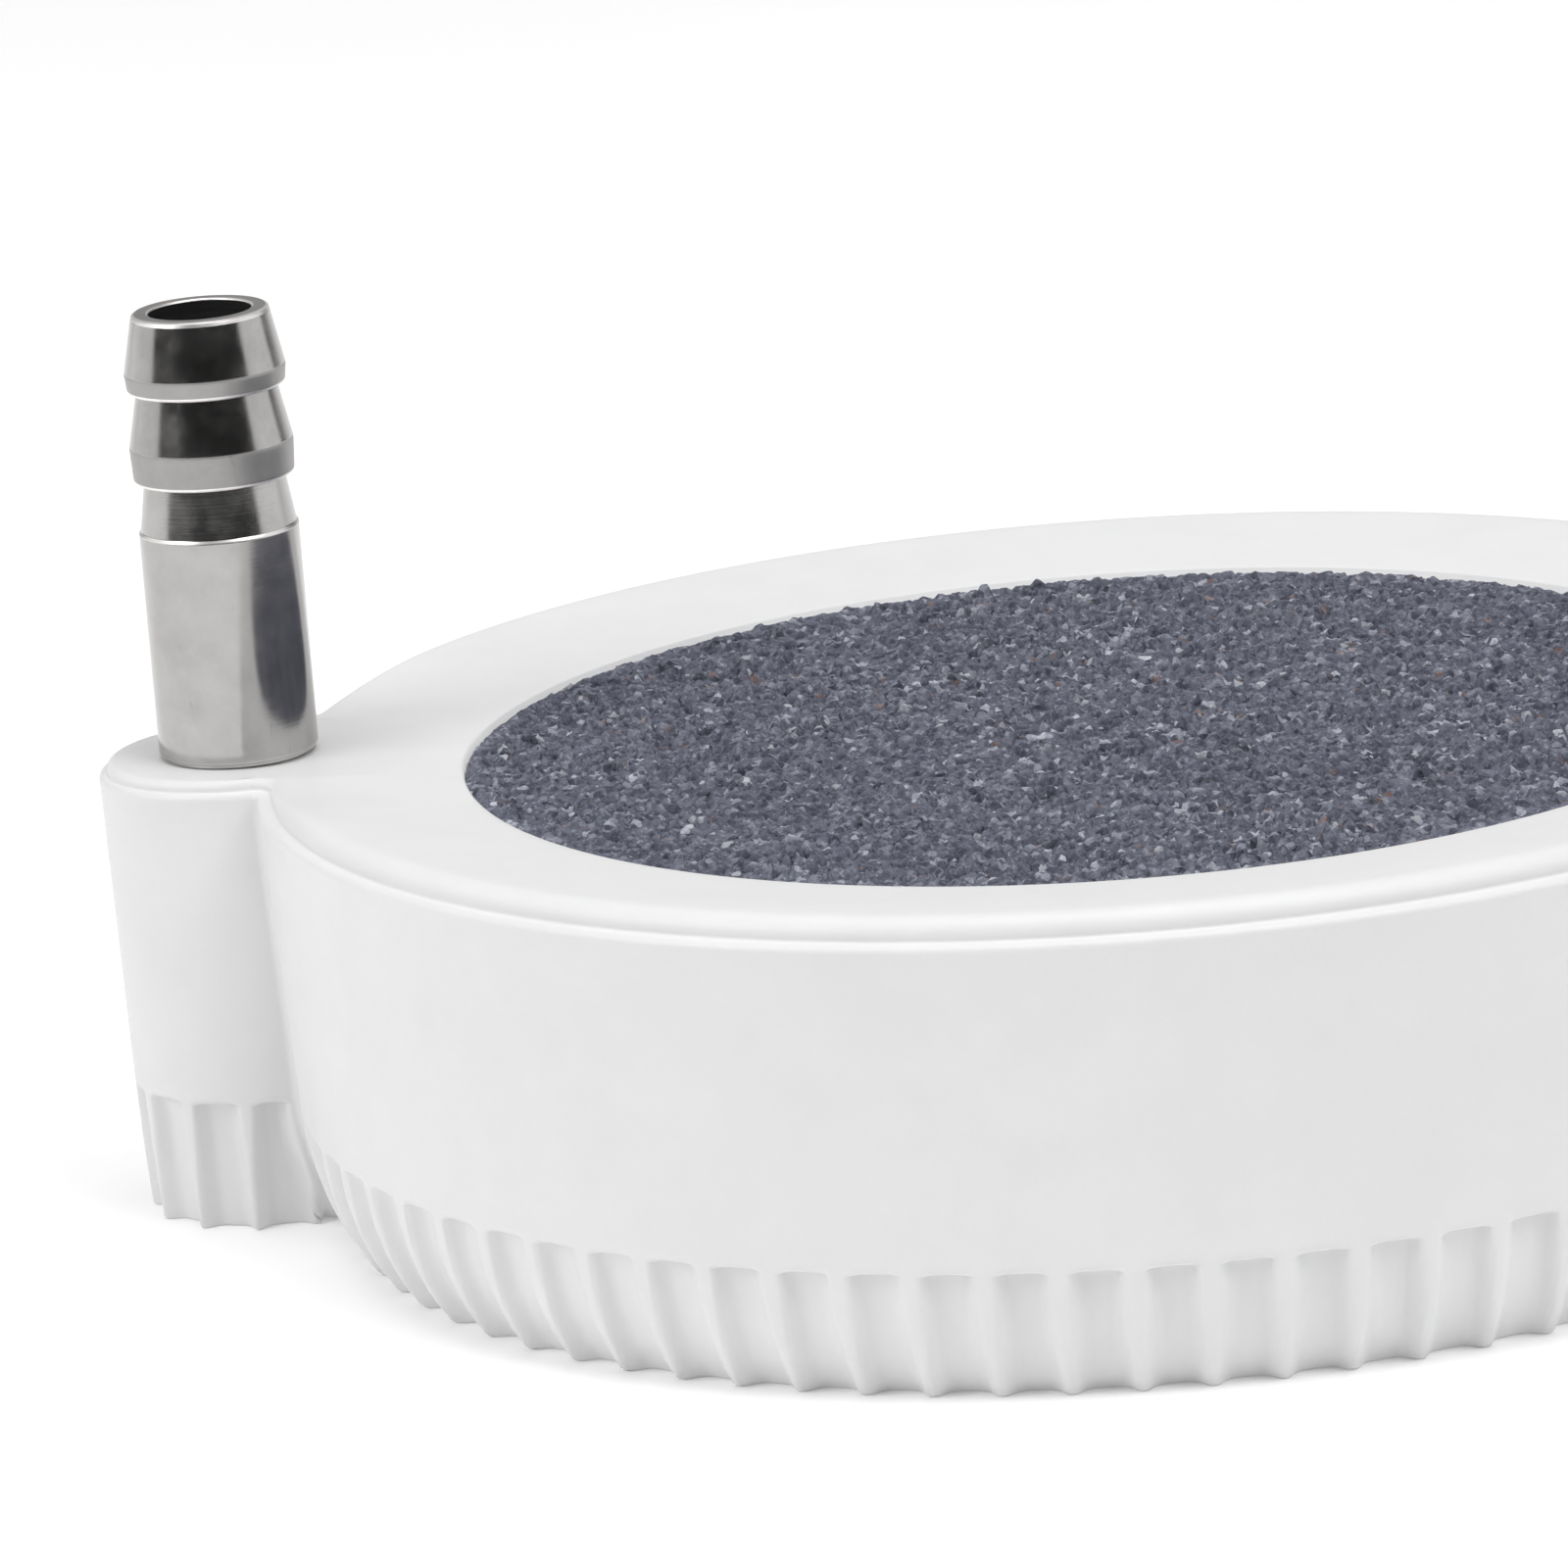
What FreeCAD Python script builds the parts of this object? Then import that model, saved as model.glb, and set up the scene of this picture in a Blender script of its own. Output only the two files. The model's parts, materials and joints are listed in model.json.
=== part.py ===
import FreeCAD, Part
import math
import os

# Disc air stone for ponds and aquariums: a moulded housing with a fluted foot, a porous
# stone set flush in its top, and a metal hose barb standing in a boss beside it.
# The origin is on the axis of the round body, on the face that the object rests on.
# +Z is up and the boss stands towards -X. Lengths are in millimetres, angles in degrees.

# ------------------------------------------------------------------ driving sizes
# round body
body_radius = 26.5          # wall of the body where it meets the ledge
body_height = 14.2          # resting face to the ledge
body_lean = 0.5             # how far the wall leans in between the ledge and the flutes
foot_inset = 1.5            # how far the fluted foot curves in below the wall
flute_height = 4.15         # top of the flutes above the resting face
# raised rim inside the ledge
ledge_width = 0.45
rim_height = 0.7           # crest of the rim above the ledge
rim_round = 0.5             # rounding of the crest
ledge_round = 0.35
# boss that holds the barb
boss_standoff = 0.9         # how far the boss's axis stands outside the wall of the body
boss_radius = 4.45
boss_lean = 0.25
boss_foot_inset = 0.2
boss_rise = 0.35             # face of the boss above the ledge
boss_round = 0.25            # rounding of the face's edge
spot_clearance = 0.6        # flat round the stem, where the rim runs past it
corner_fillet = 0.5         # hollow corner between boss and body
# flutes
flute_count = 74
flute_start = 0.7
flute_radius = 1.0
flute_depth = 0.5
boss_flute_count = 13
boss_flute_start = 90.0
# porous stone and its bond
stone_radius = 20.0
stone_thickness = 6.0
stone_rise = 0.1            # face of the stone above the ledge
stone_chamfer = 0.25
stone_clearance = 0.05
bond_thickness = 0.3
bond_clearance = 0.05
# air space under the stone
seat_width = 2.0
plenum_depth = 2.0
web_thickness = 1.2
post_count = 6
post_radius = 0.8
post_circle = 9.0
passage_radius = 0.9        # level passage from the boss to the air space
drop_clearance = 0.2        # how much wider the drop under the barb is than that passage
# ballast and base
foot_wall = 2.6             # rib crest of the foot to the recess of the base cover
cover_thickness = 1.2
cover_clearance = 0.08
cover_chamfer = 0.2
grip_ring_count = 3
grip_ring_spacing = 4.0
grip_ring_first = 8.0
grip_ring_width = 0.8
grip_ring_depth = 0.25
gasket_thickness = 0.4
gasket_width = 1.0
hub_radius = 4.0
ballast_clearance = 0.15
ballast_chamfer = 0.3
# hose barb
stem_radius = 2.5
stem_length = 7.2
barb_bore_radius = 1.6
lip_radius = 2.13
top_crest_radius = 2.45
top_cone_length = 1.85
top_band_length = 0.6
low_crest_radius = 2.49
low_cone_length = 1.75
low_band_length = 1.1
last_cone_length = 1.6
neck_step = 0.28            # how far each cone starts inside the crest below it
band_taper = 0.07
lip_chamfer = 0.15
shank_step = 0.3            # shoulder of the stem on the face of the boss
shank_length = 5.6
shank_bore_radius = 1.1
shank_clearance = 0.03
# O-ring on the shank
ring_section_radius = 0.35
ring_depth_below_face = 2.6
groove_side_clearance = 0.12

# ------------------------------------------------------------------ levels and places
boss_offset = body_radius + boss_standoff
rim_radius = body_radius - ledge_width
crest_level = body_height + rim_height
boss_face = body_height + boss_rise
boss_step_radius = boss_radius - ledge_width
skirt_radius = body_radius - body_lean
foot_radius = skirt_radius - foot_inset
boss_skirt_radius = boss_radius - boss_lean
stone_top = body_height + stone_rise
stone_bottom = stone_top - stone_thickness
pocket_radius = stone_radius + stone_clearance
seat_level = stone_bottom - bond_thickness
plenum_radius = stone_radius - seat_width
plenum_floor = seat_level - plenum_depth
web_underside = plenum_floor - web_thickness
recess_radius = foot_radius - foot_wall
recess_depth = cover_thickness + gasket_thickness
chamber_radius = recess_radius - gasket_width
shank_radius = stem_radius - shank_step
shank_hole_radius = shank_radius + shank_clearance
shank_bottom = boss_face - shank_length
passage_level = plenum_floor + plenum_depth / 2
drop_radius = passage_radius + drop_clearance
groove_radius = shank_hole_radius - 2 * ring_section_radius
boss_axis = FreeCAD.Vector(-boss_offset, 0, 0)
flute_overrun = 0.5         # cutters run on past the resting face
cut_overrun = 1.0
hair = 0.01                 # smallest step that keeps two faces from lying in one

UP = FreeCAD.Vector(0, 0, 1)
ORIGIN = FreeCAD.Vector(0, 0, 0)


# ------------------------------------------------------------------ helpers
def point(r, z):
    """Point of a half section at radius r and height z."""
    return FreeCAD.Vector(r, 0, z)


def turned(points, centre=ORIGIN):
    """Solid of revolution about the vertical axis through centre.

    points go round the half section. A pair of points makes an arc: the first is the
    middle of the arc and the second is its end.
    """
    edges = []
    last = points[0]
    for item in points[1:] + [points[0]]:
        if isinstance(item, tuple):
            edges.append(Part.Arc(last, item[0], item[1]).toShape())
            last = item[1]
        else:
            edges.append(Part.LineSegment(last, item).toShape())
            last = item
    solid = Part.Face(Part.Wire(edges)).revolve(ORIGIN, UP, 360)
    solid.translate(centre)
    return solid


def rod(radius, low, high, centre=ORIGIN):
    """Plain cylinder between two levels."""
    return Part.makeCylinder(radius, high - low, centre + UP * low)


def ring(inner, outer, low, high, centre=ORIGIN):
    """Flat ring between two levels."""
    return rod(outer, low, high, centre).cut(rod(inner, low, high, centre))


def rounded_step(radius, low, high, rounding, inside):
    """Half section of a step with a rounded outer edge; inside goes on from the rounding."""
    reach = rounding * math.sqrt(0.5)
    hub = point(radius - rounding, high - rounding)
    middle = hub + point(reach, reach)
    return [point(0, low), point(radius, low), point(radius, high - rounding),
            (middle, point(hub.x, high))] + inside


def skirt_arc(top_radius, inset, lean):
    """Centre, radius and turn of the arc that the foot follows below the wall.

    The arc leaves the leaning wall without a corner and reaches the resting face
    inset further in.
    """
    slope = math.atan2(lean, body_height - flute_height)
    chord = math.hypot(inset, flute_height)
    half_turn = math.atan2(inset, flute_height) - slope
    radius = chord / (2 * math.sin(half_turn))
    centre = point(top_radius - radius * math.cos(slope), flute_height + radius * math.sin(slope))
    return centre, radius, slope, half_turn


def on_arc(arc, angle):
    """Point of the arc that lies angle radians below the horizontal."""
    centre, radius = arc[0], arc[1]
    return point(centre.x + radius * math.cos(angle), centre.z - radius * math.sin(angle))


def skirt(top_radius, inset, lean, centre=ORIGIN):
    """Foot of the body or of the boss, before the flutes are cut."""
    arc = skirt_arc(top_radius, inset, lean)
    middle = on_arc(arc, arc[2] + arc[3])
    foot = point(top_radius - inset, 0)
    top = point(top_radius, flute_height)
    return turned([point(0, 0), foot, (middle, top), point(0, flute_height)], centre)


def wall(top_radius, lean, centre=ORIGIN):
    """Leaning wall between the flutes and the ledge."""
    low = point(top_radius - lean, flute_height)
    high = point(top_radius, body_height)
    return turned([point(0, flute_height), low, high, point(0, body_height)], centre)


def flute_cutter(top_radius, inset, lean, angle, centre=ORIGIN):
    """Scoop that cuts one flute along the curve of the foot."""
    arc = skirt_arc(top_radius, inset, lean)
    hub, radius, slope, half_turn = arc
    out = FreeCAD.Vector(math.cos(slope), 0, -math.sin(slope))
    middle = hub + out * (radius + flute_radius - flute_depth)
    along = FreeCAD.Vector(math.sin(slope), 0, math.cos(slope))
    section = Part.Face(Part.Wire(Part.Circle(middle, along, flute_radius).toShape()))
    turn = math.degrees(2 * half_turn + flute_overrun / radius)
    scoop = section.revolve(hub, FreeCAD.Vector(0, 1, 0), turn)
    scoop.rotate(ORIGIN, UP, angle)
    scoop.translate(centre)
    return scoop


# ------------------------------------------------------------------ housing
def upright_corner_edges(shape):
    """The two hollow corner edges between boss and body."""
    found = []
    for edge in shape.Edges:
        ends = [vertex.Point for vertex in edge.Vertexes]
        if len(ends) != 2 or abs(ends[0].z - ends[1].z) < hair:
            continue
        if min(abs(end.y) for end in ends) > hair:
            found.append(edge)
    return found


def ledge_edges(shape):
    """Outer edge of the ledge, all the way round."""
    return [edge for edge in shape.Edges if edge.BoundBox.ZMin > body_height - hair]


def upper_wall():
    """Walls of body and boss up to the ledge, with their hollow corners filled."""
    walls = wall(body_radius, body_lean).fuse(wall(boss_radius, boss_lean, boss_axis)).removeSplitter()
    walls = walls.makeFillet(corner_fillet, upright_corner_edges(walls))
    return walls.makeFillet(ledge_round, ledge_edges(walls))


def rim():
    """Raised rim of the body, rising from the stone's edge to a rounded crest."""
    inside = [point(pocket_radius, stone_top), point(0, stone_top)]
    return turned(rounded_step(rim_radius, body_height - ledge_round, crest_level, rim_round, inside))


def boss_step():
    """Raised face of the boss, with a rounded edge."""
    inside = [point(0, boss_face)]
    low = body_height - ledge_round
    return turned(rounded_step(boss_step_radius, low, boss_face, boss_round, inside), boss_axis)


def flutes_round(count, start, foot, centre, other_centre, other_radius):
    """Scoops evenly round one foot, without those that would cut into the other one."""
    scoops = []
    for index in range(count):
        angle = start + index * 360 / count
        turn = math.radians(angle)
        place = centre + FreeCAD.Vector(math.cos(turn), math.sin(turn), 0) * foot[0]
        if place.distanceToPoint(other_centre) > other_radius + flute_radius / 2:
            scoops.append(flute_cutter(*foot, angle, centre))
    return scoops


def flutes():
    """All the scoops of the body's foot and of the boss's foot."""
    body = flutes_round(flute_count, flute_start, (skirt_radius, foot_inset, body_lean),
                        ORIGIN, boss_axis, boss_skirt_radius)
    boss = flutes_round(boss_flute_count, boss_flute_start, (boss_skirt_radius, boss_foot_inset, boss_lean),
                        boss_axis, ORIGIN, skirt_radius)
    return body + boss


def posts():
    """Posts on the floor of the air space that carry the middle of the stone."""
    standing = [rod(post_radius, plenum_floor - hair, stone_bottom)]
    for index in range(post_count):
        turn = 2 * math.pi * index / post_count
        place = FreeCAD.Vector(math.cos(turn), math.sin(turn), 0) * post_circle
        standing.append(rod(post_radius, plenum_floor - hair, stone_bottom, place))
    return standing


def make_housing():
    shape = upper_wall().fuse([skirt(skirt_radius, foot_inset, body_lean),
                               skirt(boss_skirt_radius, boss_foot_inset, boss_lean, boss_axis),
                               rim(), boss_step()])
    shape = shape.removeSplitter()
    shape = shape.cut(flutes())
    hollows = [
        rod(pocket_radius, seat_level, crest_level + cut_overrun),
        rod(plenum_radius, plenum_floor, seat_level + hair),
        rod(recess_radius, -cut_overrun, recess_depth),
        ring(hub_radius, chamber_radius, recess_depth - hair, web_underside),
        rod(shank_hole_radius, shank_bottom, boss_face + cut_overrun, boss_axis),
        rod(stem_radius + spot_clearance, boss_face, crest_level + cut_overrun, boss_axis),
        rod(drop_radius, passage_level - drop_radius, shank_bottom + hair, boss_axis),
        Part.makeCylinder(passage_radius, boss_offset - plenum_radius + cut_overrun,
                          boss_axis + UP * passage_level, FreeCAD.Vector(1, 0, 0)),
    ]
    shape = shape.cut(hollows)
    shape = shape.fuse(rod(hub_radius, cover_thickness, web_underside + hair))
    return shape.fuse(posts())


# ------------------------------------------------------------------ the other pieces
def make_air_stone():
    disc = rod(stone_radius, stone_bottom, stone_top)
    rims = [edge for edge in disc.Edges if edge.BoundBox.ZLength < hair]
    return disc.makeChamfer(stone_chamfer, rims)


def make_stone_bond():
    return ring(plenum_radius + bond_clearance, pocket_radius - bond_clearance, seat_level, stone_bottom)


def make_base_cover():
    cover = rod(recess_radius - cover_clearance, 0, cover_thickness)
    lower = [edge for edge in cover.Edges if edge.BoundBox.ZMax < hair]
    cover = cover.makeChamfer(cover_chamfer, lower)
    for index in range(grip_ring_count):
        inner = grip_ring_first + index * grip_ring_spacing
        cover = cover.cut(ring(inner, inner + grip_ring_width, -cut_overrun, grip_ring_depth))
    return cover


def make_cover_gasket():
    return ring(chamber_radius, recess_radius - cover_clearance, cover_thickness, recess_depth)


def make_ballast_ring():
    block = ring(hub_radius + ballast_clearance, chamber_radius - ballast_clearance,
                 cover_thickness, web_underside - ballast_clearance)
    hole_radius = hub_radius + ballast_clearance
    flat = [edge for edge in block.Edges if edge.BoundBox.ZLength < hair]
    outer = [edge for edge in flat if edge.Curve.Radius > hole_radius + hair]
    return block.makeChamfer(ballast_chamfer, outer)


def make_hose_barb():
    """Turned barb: plain shank in the boss, plain stem, two barbs and a tapered lip."""
    stem_top = boss_face + stem_length
    last_neck = stem_top + last_cone_length
    low_crest = last_neck + low_band_length
    low_neck = low_crest + low_cone_length
    top_crest = low_neck + top_band_length
    barb_top = top_crest + top_cone_length
    outline = [
        point(0, shank_bottom),
        point(shank_radius, shank_bottom),
        point(shank_radius, boss_face),
        point(stem_radius, boss_face),
        point(stem_radius, stem_top),
        point(stem_radius - neck_step + band_taper, last_neck),
        point(low_crest_radius - band_taper, last_neck),
        point(low_crest_radius, low_crest),
        point(low_crest_radius - neck_step, low_neck),
        point(top_crest_radius - band_taper, low_neck),
        point(top_crest_radius, top_crest),
        point(lip_radius, barb_top - lip_chamfer),
        point(lip_radius - lip_chamfer, barb_top),
        point(0, barb_top),
    ]
    barb = turned(outline, boss_axis)
    barb = barb.cut(rod(barb_bore_radius, boss_face, barb_top + cut_overrun, boss_axis))
    barb = barb.cut(rod(shank_bore_radius, shank_bottom - cut_overrun, boss_face + hair, boss_axis))
    half_groove = ring_section_radius + groove_side_clearance
    level = boss_face - ring_depth_below_face
    return barb.cut(ring(groove_radius, stem_radius, level - half_groove, level + half_groove, boss_axis))


def make_barb_o_ring():
    centre = boss_axis + UP * (boss_face - ring_depth_below_face)
    return Part.makeTorus(groove_radius + ring_section_radius, ring_section_radius, centre)


MAKERS = {
    "housing": make_housing,
    "base_cover": make_base_cover,
    "cover_gasket": make_cover_gasket,
    "ballast_ring": make_ballast_ring,
    "air_stone": make_air_stone,
    "stone_bond": make_stone_bond,
    "hose_barb": make_hose_barb,
    "barb_o_ring": make_barb_o_ring,
}

os.makedirs("parts", exist_ok=True)
for name, make in MAKERS.items():
    shape = make()
    if len(shape.Solids) == 1:
        shape = shape.Solids[0]
    state = "valid" if shape.isValid() else "NOT VALID"
    print(name, len(shape.Solids), "solid", state, round(shape.Volume, 2))
    shape.exportStep("parts/" + name + ".step")
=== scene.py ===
import math

import bpy
import numpy as np
from mathutils import Matrix, Vector
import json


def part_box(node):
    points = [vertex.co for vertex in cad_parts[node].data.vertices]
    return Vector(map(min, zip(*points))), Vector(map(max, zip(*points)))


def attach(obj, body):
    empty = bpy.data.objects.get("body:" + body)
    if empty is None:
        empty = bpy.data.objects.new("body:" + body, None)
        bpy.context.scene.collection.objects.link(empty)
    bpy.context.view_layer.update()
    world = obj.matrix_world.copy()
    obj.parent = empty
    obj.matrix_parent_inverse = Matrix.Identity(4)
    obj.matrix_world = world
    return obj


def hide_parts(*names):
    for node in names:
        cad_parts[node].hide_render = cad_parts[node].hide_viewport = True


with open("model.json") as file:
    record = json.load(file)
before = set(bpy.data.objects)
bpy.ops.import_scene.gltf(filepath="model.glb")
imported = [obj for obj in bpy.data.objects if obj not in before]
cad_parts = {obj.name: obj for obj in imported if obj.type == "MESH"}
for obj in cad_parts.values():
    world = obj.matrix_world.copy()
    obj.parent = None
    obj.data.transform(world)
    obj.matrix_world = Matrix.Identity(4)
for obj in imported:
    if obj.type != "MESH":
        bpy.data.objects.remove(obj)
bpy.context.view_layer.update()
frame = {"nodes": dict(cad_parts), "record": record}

# Disc air stone. Lengths below are in millimetres unless they come from the frame, which
# is in metres; MM turns them into metres. +Z is up and the boss stands towards -X.
MM = 0.001
SEED = 20
random = np.random.default_rng(SEED)


# ------------------------------------------------------------------ sizes read from the frame
def node_box(name):
    """Lowest and highest corner of a CAD node, in millimetres."""
    low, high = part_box(name)
    return np.array(low) / MM, np.array(high) / MM


HOUSING_LOW, HOUSING_HIGH = node_box("housing")
STONE_LOW, STONE_HIGH = node_box("air_stone")
BARB_LOW, BARB_HIGH = node_box("hose_barb")
COVER_HIGH = node_box("base_cover")[1]
GASKET_HIGH = node_box("cover_gasket")[1]
BOND_LOW = node_box("stone_bond")[0]
BALLAST_HIGH = node_box("ballast_ring")[1]

BODY_RADIUS = HOUSING_HIGH[0]
STONE_RADIUS = STONE_HIGH[0]
STONE_TOP = STONE_HIGH[2]
CREST_LEVEL = HOUSING_HIGH[2]
BOSS_X = (BARB_LOW[0] + BARB_HIGH[0]) / 2
BOSS_RADIUS = BOSS_X - HOUSING_LOW[0]
COVER_GAP = 0.08
BALLAST_GAP = 0.15
STONE_GAP = 0.05
RECESS_RADIUS = COVER_HIGH[0] + COVER_GAP
RECESS_LEVEL = GASKET_HIGH[2]
CHAMBER_RADIUS = BALLAST_HIGH[0] + BALLAST_GAP
WEB_UNDERSIDE = BALLAST_HIGH[2] + BALLAST_GAP
SEAT_LEVEL = BOND_LOW[2]
STEM = next(mount for mount in frame["record"]["mounts"] if mount["name"] == "hose_barb")
STEM_RADIUS = STEM["dims"]["r_mm"]
BOSS_FACE = STEM["pos_m"][2] / MM - STEM["dims"]["length_mm"] / 2
STEM_TOP = BOSS_FACE + STEM["dims"]["length_mm"]

# heights of the housing, and the air space that the stone covers
BOSS_RISE = 0.35            # of the boss's face above the ledge
LEDGE_LEVEL = BOSS_FACE - BOSS_RISE
FLUTE_TOP = 4.15
PLENUM_DEPTH = 2.0
PLENUM_RADIUS = 18.0
HUB_RADIUS = 4.0


# ------------------------------------------------------------------ node helpers
def new_material(name):
    material = bpy.data.materials.new(name)
    material.use_nodes = True
    nodes = material.node_tree.nodes
    return material, material.node_tree, nodes["Principled BSDF"]


def add(tree, kind, **settings):
    """Adds a node; keys that name an input set that input, the others set a property."""
    node = tree.nodes.new(kind)
    for key, value in settings.items():
        if key in node.inputs:
            node.inputs[key].default_value = value
        else:
            setattr(node, key, value)
    return node


def ramp(tree, factor, stops):
    """Colour ramp through (position, grey or colour) stops."""
    node = tree.nodes.new("ShaderNodeValToRGB")
    elements = node.color_ramp.elements
    while len(elements) < len(stops):
        elements.new(0.5)
    for element, (position, colour) in zip(elements, stops):
        element.position = position
        grey = (colour, colour, colour) if isinstance(colour, (int, float)) else colour
        element.color = (*grey, 1)
    tree.links.new(factor, node.inputs["Fac"])
    return node.outputs["Color"]


def mix(tree, factor, first, second, blend="MIX"):
    """Mixes two colours; each may be a socket or an RGB triple, and factor a socket or a number."""
    node = tree.nodes.new("ShaderNodeMix")
    node.data_type = "RGBA"
    node.blend_type = blend
    for socket, value in ((node.inputs[0], factor), (node.inputs[6], first), (node.inputs[7], second)):
        if isinstance(value, bpy.types.NodeSocket):
            tree.links.new(value, socket)
        elif isinstance(value, (int, float)):
            socket.default_value = value
        else:
            socket.default_value = (*value, 1)
    return node.outputs[2]


def place(tree, scale=(1, 1, 1)):
    """Object coordinates in millimetres, stretched by scale."""
    where = tree.nodes.new("ShaderNodeTexCoord").outputs["Object"]
    mapping = add(tree, "ShaderNodeMapping")
    mapping.inputs["Scale"].default_value = [s / MM for s in scale]
    tree.links.new(where, mapping.inputs["Vector"])
    return mapping.outputs["Vector"]


def noise(tree, where, scale, detail=2.0, roughness=0.5, distortion=0.0):
    node = add(tree, "ShaderNodeTexNoise", Scale=scale, Detail=detail, Roughness=roughness,
               Distortion=distortion)
    tree.links.new(where, node.inputs["Vector"])
    return node.outputs["Fac"]


def bump(tree, height, distance, strength=1.0, normal=None):
    node = add(tree, "ShaderNodeBump", Strength=strength, Distance=distance * MM)
    tree.links.new(height, node.inputs["Height"])
    if normal:
        tree.links.new(normal, node.inputs["Normal"])
    return node.outputs["Normal"]


# ------------------------------------------------------------------ materials
def white_plastic():
    """Matte moulded plastic: even white, with a faint flow mottle and a fine spark-eroded grain."""
    material, tree, shader = new_material("white_plastic")
    where = place(tree)
    mottle = noise(tree, where, 0.35, 3.0, 0.6)
    colour = ramp(tree, mottle, [(0.3, (0.775, 0.775, 0.778)), (0.7, (0.80, 0.80, 0.80))])
    tree.links.new(colour, shader.inputs["Base Color"])
    grain = noise(tree, where, 9.0, 3.0, 0.65)
    rough = ramp(tree, grain, [(0.3, 0.40), (0.7, 0.52)])
    tree.links.new(rough, shader.inputs["Roughness"])
    tree.links.new(bump(tree, grain, 0.012, 0.5), shader.inputs["Normal"])
    shader.inputs["IOR"].default_value = 1.46
    return material


def porous_stone():
    """Blue-grey bonded mineral grains with rare rusty specks; the darkest specks are painted pore shade and
    the palest are painted glints.
    """
    material, tree, shader = new_material("porous_stone")
    where = place(tree)
    cells = add(tree, "ShaderNodeTexVoronoi", Scale=3.6, Randomness=1.0)
    tree.links.new(where, cells.inputs["Vector"])
    tone = add(tree, "ShaderNodeSeparateColor")
    tree.links.new(cells.outputs["Color"], tone.inputs["Color"])
    fine = noise(tree, where, 5.5, 4.0, 0.7, 0.4)
    calm = noise(tree, where, 0.42, 3.0, 0.6)
    # grain tones: the darkest stops paint shade in the pores, the palest stops paint glints, the rest is the
    # grains' own blue-grey
    grain = ramp(tree, tone.outputs["Red"], [
        (0.0, (0.015, 0.017, 0.034)), (0.16, (0.052, 0.057, 0.088)), (0.45, (0.108, 0.116, 0.158)),
        (0.78, (0.165, 0.174, 0.222)), (0.93, (0.34, 0.355, 0.42)), (1.0, (0.72, 0.74, 0.80))])
    # binder tones: the darkest stop paints pore shade and the palest stop paints glints
    matrix = ramp(tree, fine, [(0.34, (0.022, 0.024, 0.044)), (0.46, (0.100, 0.107, 0.148)),
                               (0.58, (0.150, 0.159, 0.205)), (0.68, (0.50, 0.52, 0.60))])
    spread = ramp(tree, calm, [(0.35, 0.30), (0.65, 0.75)])
    colour = mix(tree, spread, matrix, grain)
    rust = ramp(tree, tone.outputs["Green"], [(0.990, 0.0), (0.996, 0.35)])
    colour = mix(tree, rust, colour, (0.36, 0.17, 0.07))
    tree.links.new(colour, shader.inputs["Base Color"])
    rough = ramp(tree, tone.outputs["Blue"], [(0.0, 0.75), (0.8, 0.60), (1.0, 0.25)])
    tree.links.new(rough, shader.inputs["Roughness"])
    relief = bump(tree, cells.outputs["Distance"], -0.10, 0.6)
    tree.links.new(bump(tree, fine, 0.10, 0.7, relief), shader.inputs["Normal"])
    return material


def turned_metal(name, tone, smooth, dull):
    """Turned metal of a brightness, with fine tool rings, soft cloudiness and a few scuffs."""
    material, tree, shader = new_material(name)
    rings = noise(tree, place(tree, (0.15, 0.15, 22.0)), 1.0, 3.0, 0.6)
    cloud = noise(tree, place(tree), 0.9, 4.0, 0.65)
    scuffs = noise(tree, place(tree, (2.2, 2.2, 0.5)), 1.6, 5.0, 0.7)
    warm = np.array([1.0, 0.975, 0.955]) * tone
    colour = ramp(tree, cloud, [(0.3, tuple(warm * 0.90)), (0.7, tuple(warm * 1.08))])
    marks = ramp(tree, scuffs, [(0.62, 0.0), (0.74, 0.5)])
    colour = mix(tree, marks, colour, tuple(warm * 0.55))
    tree.links.new(colour, shader.inputs["Base Color"])
    shader.inputs["Metallic"].default_value = 1.0
    tree.links.new(ramp(tree, cloud, [(0.25, smooth), (0.75, dull)]), shader.inputs["Roughness"])
    tree.links.new(bump(tree, rings, 0.002, 0.5), shader.inputs["Normal"])
    return material


def painted_shade_bore():
    """Drilled wall of the barb's air hole, unpolished; its near-black colour and weak specular are painted
    shade for the dark inside of the hole.
    """
    material, tree, shader = new_material("barb_bore")
    rings = noise(tree, place(tree, (0.3, 0.3, 9.0)), 1.0, 3.0, 0.6)
    # near-black base colour: painted shade in the hole
    tree.links.new(ramp(tree, rings, [(0.3, 0.010), (0.7, 0.025)]), shader.inputs["Base Color"])
    tree.links.new(ramp(tree, rings, [(0.3, 0.55), (0.7, 0.75)]), shader.inputs["Roughness"])
    shader.inputs["Specular IOR Level"].default_value = 0.2
    return material


def plain_steel():
    """Dull stamped steel of the hidden ballast."""
    material, tree, shader = new_material("ballast_steel")
    cloud = noise(tree, place(tree), 0.8, 4.0, 0.6)
    tree.links.new(ramp(tree, cloud, [(0.3, (0.32, 0.32, 0.33)), (0.7, (0.45, 0.45, 0.46))]),
                   shader.inputs["Base Color"])
    shader.inputs["Metallic"].default_value = 1.0
    tree.links.new(ramp(tree, cloud, [(0.3, 0.38), (0.7, 0.55)]), shader.inputs["Roughness"])
    return material


def soft_rubber():
    """Black nitrile rubber of the seals."""
    material, tree, shader = new_material("seal_rubber")
    cloud = noise(tree, place(tree), 2.5, 3.0, 0.6)
    tree.links.new(ramp(tree, cloud, [(0.3, (0.018, 0.018, 0.019)), (0.7, (0.035, 0.035, 0.036))]),
                   shader.inputs["Base Color"])
    tree.links.new(ramp(tree, cloud, [(0.3, 0.55), (0.7, 0.70)]), shader.inputs["Roughness"])
    tree.links.new(bump(tree, cloud, 0.01, 0.4), shader.inputs["Normal"])
    return material


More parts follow.
